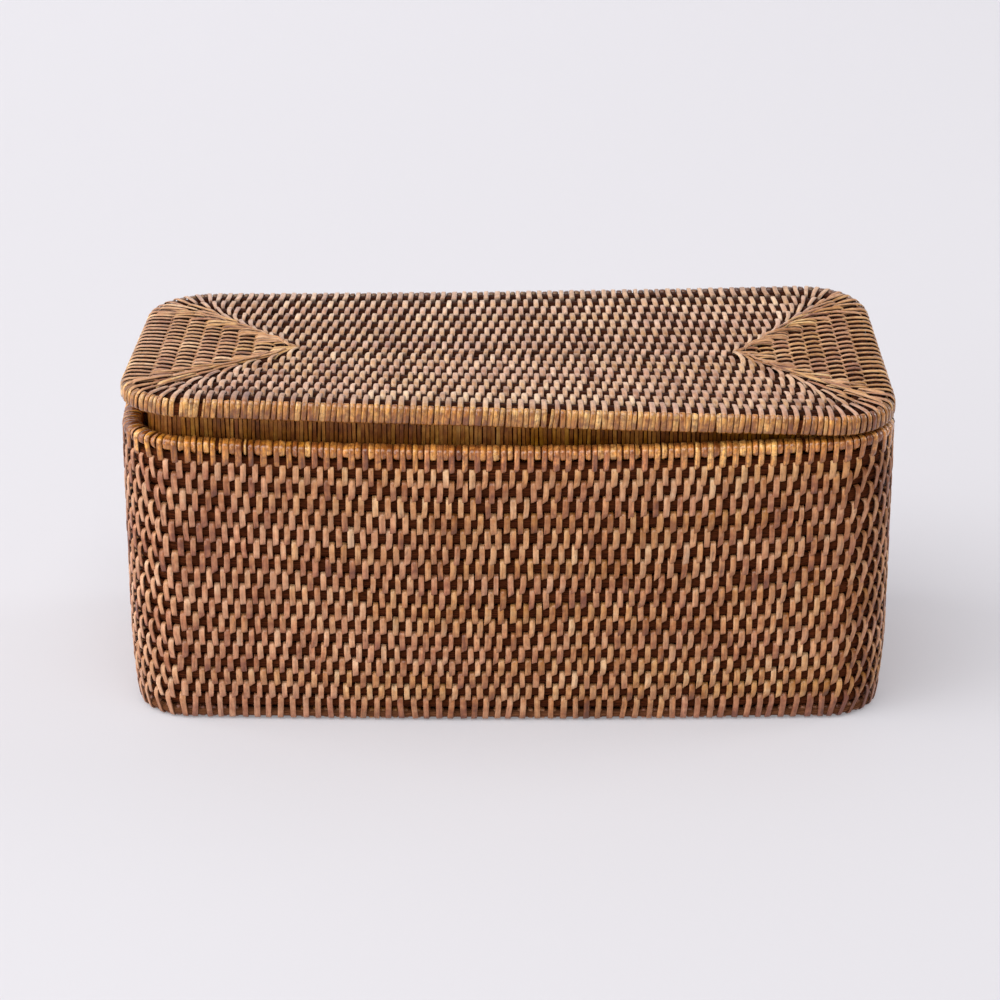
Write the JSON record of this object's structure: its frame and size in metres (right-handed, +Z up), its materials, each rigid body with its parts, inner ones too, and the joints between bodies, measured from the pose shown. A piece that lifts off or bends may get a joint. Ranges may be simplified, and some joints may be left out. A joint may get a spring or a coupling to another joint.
{
  "type": "woven lidded box",
  "caption": "Rectangular coiled cane storage box with rounded corners and a lift-off lid whose collar drops inside the rim.",
  "frame": {"origin": "on the ground under the middle of the box", "axes": "+X along the box, -Y the long face seen in the picture, +Z up"},
  "size_m": [0.3466, 0.1548, 0.1587],
  "materials": {
    "wall_cane": "satin lacquered split cane, reddish tan",
    "lid_cane": "satin lacquered split cane, pale tan",
    "floor_cane": "satin split cane, brown",
    "rim_cane": "glossy split cane, golden",
    "rod_cane": "dark stained round cane",
    "collar_cane": "satin split cane, olive brown"
  },
  "bodies": {
    "base": {"floor_spine": "floor_cane", "floor_coil_1": "floor_cane", "floor_coil_2": "floor_cane", "floor_coil_3": "floor_cane", "floor_coil_4": "floor_cane", "floor_coil_5": "floor_cane", "floor_coil_6": "floor_cane", "floor_coil_7": "floor_cane", "wall_course_01": "wall_cane", "wall_course_02": "wall_cane", "wall_course_03": "wall_cane", "wall_course_04": "wall_cane", "wall_course_05": "wall_cane", "wall_course_06": "wall_cane", "wall_course_07": "wall_cane", "wall_course_08": "wall_cane", "wall_course_09": "wall_cane", "wall_course_10": "wall_cane", "wall_course_11": "wall_cane", "wall_course_12": "wall_cane", "wall_course_13": "wall_cane", "wall_course_14": "wall_cane", "wall_course_15": "wall_cane", "wall_course_16": "wall_cane", "wall_course_17": "wall_cane", "wall_course_18": "wall_cane", "base_rim_rod": "rod_cane", "base_rim_binding": "rim_cane"},
    "lid": {"lid_spine": "lid_cane", "lid_coil_1": "lid_cane", "lid_coil_2": "lid_cane", "lid_coil_3": "lid_cane", "lid_coil_4": "lid_cane", "lid_coil_5": "lid_cane", "lid_coil_6": "lid_cane", "lid_coil_7": "lid_cane", "lid_coil_8": "lid_cane", "lid_rim_rod": "rod_cane", "lid_rim_binding": "rim_cane", "collar_lath": "rod_cane", "collar_binding": "collar_cane"}
  },
  "joints": [
    {"name": "lid_lift", "type": "slide", "parent": "base", "child": "lid", "axis": [0, 0, 1], "range_m": [0, 0.13]}
  ]
}
